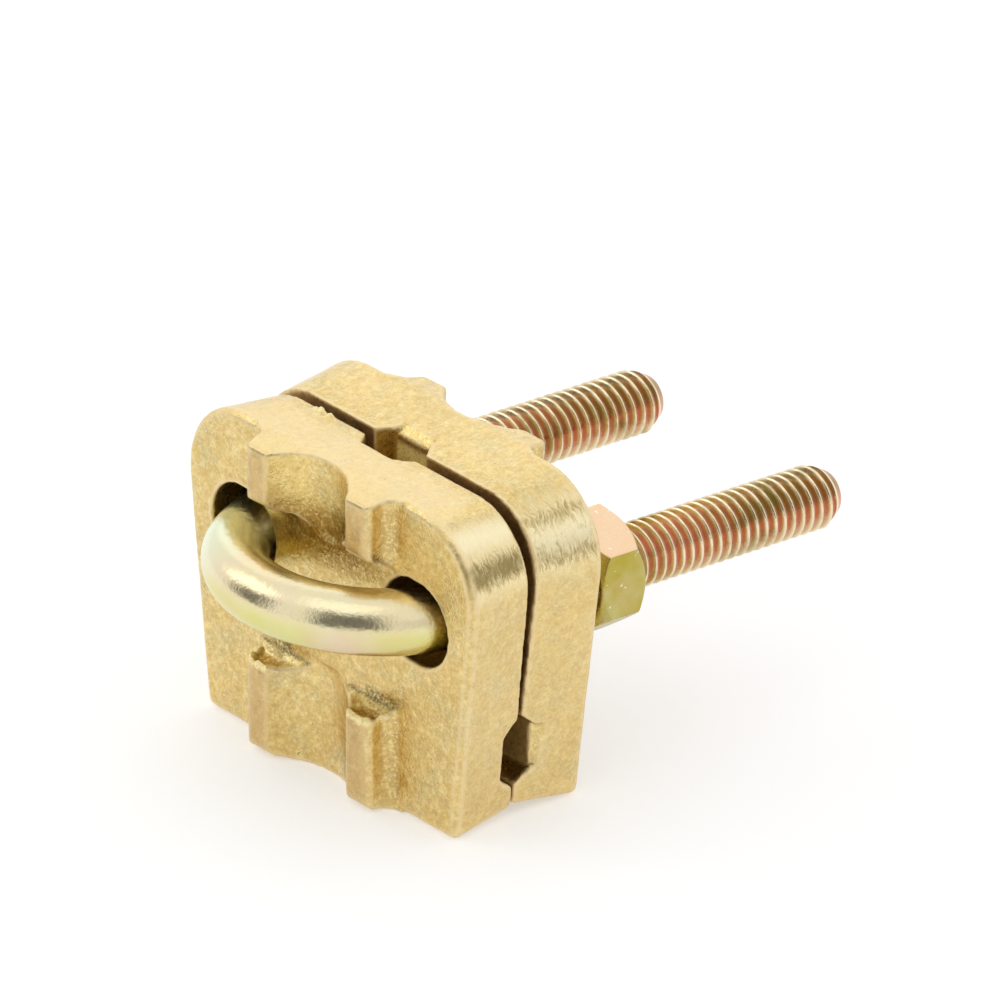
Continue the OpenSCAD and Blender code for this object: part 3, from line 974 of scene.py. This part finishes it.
def makeBolt():
    plan = boltPlan
    place, bendRadius, legLength = boltFrame()
    turns = math.ceil(plan["threadLength"] / plan["pitch"]) + 1
    piece = addObject("u_bolt_threaded", bpy.data.meshes.new("u_bolt_threaded"))
    throughTree(piece, uBoltTree(), {
        **plan, "tipRadius": plan["barRadius"] - plan["tipInset"], "bendRadius": bendRadius,
        "plainLength": legLength - plan["threadLength"], "turns": float(turns),
        "turnSteps": turns * plan["roundSteps"], "material": zincBar})
    mesh = piece.data
    markBolt(mesh)
    mesh.transform(place)
    work = bmesh.new()
    work.from_mesh(mesh)
    bmesh.ops.recalc_face_normals(work, faces=work.faces)
    openEdges = sum(not edge.is_manifold for edge in work.edges)
    work.to_mesh(mesh)
    work.free()
    mesh.shade_smooth()
    mesh.set_sharp_from_angle(angle=math.radians(plan["sharpAngle"]))
    # underside facing down: painted reflection of the floor
    storeValues(mesh, "under", smoothShare(vertexValues(mesh, "normal")[:, 2], *plan["underFacing"]))
    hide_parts("u_bolt")
    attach(piece, "u_bolt")
    print("bolt made:", len(mesh.polygons), "faces,", openEdges, "open edges, leg",
          round(legLength / mm, 2), "mm")


makeBolt()


# the hex nuts

nutPlan = {
    "voxel": 0.14 * mm,
    "softPasses": 2,
    "edgePasses": 3,
    "edgeBend": (0.05, 0.2),
    # peachSide: the way up that the painted light on the nut comes from
    "peachSide": (0.35, 0.0, 0.94),
}


def makeNut(nodeName):
    piece = remeshed(nodeName + "_hex", nodeCopy(nodeName), nutPlan["voxel"])
    mesh = piece.data
    softened(mesh, nutPlan["softPasses"])
    mesh.shade_smooth()
    bend = bentness(mesh, nutPlan["voxel"], nutPlan["edgePasses"])
    storeValues(mesh, "edge", smoothShare(bend, *nutPlan["edgeBend"]))
    # how far each face turns up, for the painted light on the nut
    facing = vertexValues(mesh, "normal") @ np.array(Vector(nutPlan["peachSide"]).normalized())
    storeValues(mesh, "facet", 0.5 + 0.5 * facing)
    mesh.materials.append(zincNut)
    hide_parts(nodeName)
    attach(piece, nodeName)
    print("nut made:", piece.name, len(mesh.vertices), "points")


for nodeName in ("left_nut", "right_nut"):
    makeNut(nodeName)


# camera at the photograph's angle, aimed so that the seen point falls on its pixel

cameraPlan = {
    "azimuth": 50.37,
    "elevation": 27.38,
    "distance": 3030 * mm,
    "pixelsPerMm": 8.64235,
    "imageSize": 1000,
    "seenPoint": (0.0, 8.3 * mm, 25.7 * mm),
    "seenPixel": (328.478, 576.343),
    "sensor": 36.0,
}


def makeCamera():
    plan = cameraPlan
    turn, rise = math.radians(plan["azimuth"]), math.radians(plan["elevation"])
    back = Vector((math.sin(turn) * math.cos(rise), -math.cos(turn) * math.cos(rise), math.sin(rise)))
    right = Vector((math.cos(turn), math.sin(turn), 0))
    up = back.cross(right)
    half = plan["imageSize"] / 2
    shiftRight = (half - plan["seenPixel"][0]) / plan["pixelsPerMm"] * mm
    shiftUp = (plan["seenPixel"][1] - half) / plan["pixelsPerMm"] * mm
    seen = Vector(plan["seenPoint"])
    camera = addObject("photoCamera", bpy.data.cameras.new("photoCamera"))
    camera.location = seen + back * plan["distance"]
    aim = seen + right * shiftRight + up * shiftUp
    camera.rotation_euler = (aim - camera.location).to_track_quat("-Z", "Y").to_euler()
    camera.data.sensor_width = plan["sensor"]
    camera.data.lens = plan["sensor"] * plan["pixelsPerMm"] * (plan["distance"] / mm) / plan["imageSize"]
    scene.camera = camera


makeCamera()
print("camera placed")


# white floor, white surroundings and soft studio lamps

studioPlan = {
    "floorSize": 3.0,
    "floorDrop": 0.05 * mm,
    "floorColour": (0.8, 0.8, 0.8, 1),
    "floorRoughness": 0.9,
    "floorGloss": 0.1,
    "floorGlow": 0.40,
    "worldColour": (1, 1, 1, 1),
    "worldLight": 0.75,
    "lamps": {
        "backLamp": {"at": (-0.50, 0.42, 0.45), "size": 0.7, "power": 0.30},
        "leftLamp": {"at": (-0.50, -0.35, 0.45), "size": 0.4, "power": 0.4},
        "overheadLamp": {"at": (0.10, -0.30, 0.75), "size": 0.5, "power": 0.25},
    },
    "flagColour": (0.02, 0.02, 0.02, 1),
    "flagRoughness": 0.9,
    "flagReach": 0.7,
    "flagSoft": 8.0,
    "flagSteps": 24,
    # turn and rise in degrees: a flag fades in over the first two rises and out over the last two
    "flags": {
        "leftFlag": {"from": 214.0, "to": 252.0, "cover": 0.85, "rise": (-3.0, 1.0, 28.0, 35.0)},
        "frontFlag": {"from": 277.0, "to": 332.0, "cover": 0.85, "rise": (-3.0, 1.0, 40.0, 50.0)},
        "rightFlag": {"from": 335.0, "to": 415.0, "cover": 0.2, "rise": (0.0, 5.0, 22.0, 32.0)},
    },
}


def seenShare(tree):  # 1 for what the camera, a gloss or a clear surface sees
    path = tree.nodes.new("ShaderNodeLightPath").outputs
    share = calc(tree, "MAXIMUM", path["Is Camera Ray"], path["Is Glossy Ray"])
    return calc(tree, "MAXIMUM", share, path["Is Transmission Ray"])


def makeWorld():
    world = bpy.data.worlds.new("whiteRoom")
    world.use_nodes = True
    scene.world = world
    tree = world.node_tree
    light = ramp(tree, seenShare(tree), 0, 1, studioPlan["worldLight"], 1.0)
    feed(tree, light, tree.nodes["Background"].inputs["Strength"])
    tree.nodes["Background"].inputs["Color"].default_value = studioPlan["worldColour"]


def makeFloor():
    plan = studioPlan
    half = plan["floorSize"] / 2
    corners = [(-half, -half, 0), (half, -half, 0), (half, half, 0), (-half, half, 0)]
    mesh = bpy.data.meshes.new("floor")
    mesh.from_pydata(corners, [], [(0, 1, 2, 3)])
    floor = addObject("floor", mesh)
    floor.location.z = cadBox[0].z - plan["floorDrop"]
    material, tree, shader, _ = newFinish("floorPaint")
    shader.inputs["Base Color"].default_value = plan["floorColour"]
    shader.inputs["Roughness"].default_value = plan["floorRoughness"]
    shader.inputs["Specular IOR Level"].default_value = plan["floorGloss"]
    strength = times(tree, seenShare(tree), plan["floorGlow"])
    glow = addNode(tree, "ShaderNodeEmission", {"Strength": strength})
    both = addNode(tree, "ShaderNodeAddShader", {0: shader.outputs[0], 1: glow.outputs[0]})
    feed(tree, both.outputs[0], tree.nodes["Material Output"].inputs["Surface"])
    mesh.materials.append(material)


def flagFinish():  # black cloth with soft ends, seen only in the shine of the metal
    material, tree, shader, _ = newFinish("flagCloth")
    shader.inputs["Base Color"].default_value = studioPlan["flagColour"]
    shader.inputs["Roughness"].default_value = studioPlan["flagRoughness"]
    clear = tree.nodes.new("ShaderNodeBsdfTransparent")
    cover = addNode(tree, "ShaderNodeMixShader", {
        0: attributeAt(tree, "cover"), 1: clear.outputs[0], 2: shader.outputs[0]})
    feed(tree, cover.outputs[0], tree.nodes["Material Output"].inputs["Surface"])
    return material


def makeFlag(name, flagPlan, middle, material):
    plan = studioPlan
    covers = (0.0, flagPlan["cover"], flagPlan["cover"], 0.0)
    start, end = flagPlan["from"], flagPlan["to"]
    points, values, faces = [], [], []
    for step in range(plan["flagSteps"] + 1):
        angle = start + (end - start) * step / plan["flagSteps"]
        ends = min(1.0, min(angle - start, end - angle) / plan["flagSoft"])
        turn = math.radians(angle)
        for rise, cover in zip(flagPlan["rise"], covers):
            out = Vector((math.cos(turn), math.sin(turn), math.tan(math.radians(rise))))
            points.append(middle + out * plan["flagReach"])
            values.append(cover * ends)
    rows = len(covers)
    for step in range(plan["flagSteps"]):
        for row in range(rows - 1):
            corner = step * rows + row
            faces.append((corner, corner + rows, corner + rows + 1, corner + 1))
    mesh = bpy.data.meshes.new(name)
    mesh.from_pydata(points, [], faces)
    storeValues(mesh, "cover", np.array(values))
    mesh.materials.append(material)
    flag = addObject(name, mesh)
    flag.visible_camera = False
    flag.visible_diffuse = False
    flag.visible_shadow = False


def makeLamp(name, lampPlan, middle):
    light = bpy.data.lights.new(name, "AREA")
    light.size = lampPlan["size"]
    light.energy = lampPlan["power"]
    lamp = addObject(name, light)
    lamp.location = lampPlan["at"]
    lamp.rotation_euler = (middle - lamp.location).to_track_quat("-Z", "Y").to_euler()
    lamp.visible_camera = False


def makeStudio():
    middle = (cadBox[0] + cadBox[1]) / 2
    makeWorld()
    makeFloor()
    cloth = flagFinish()
    for name, flagPlan in studioPlan["flags"].items():
        makeFlag(name, flagPlan, middle, cloth)
    for name, lampPlan in studioPlan["lamps"].items():
        makeLamp(name, lampPlan, middle)


makeStudio()
print("studio made")
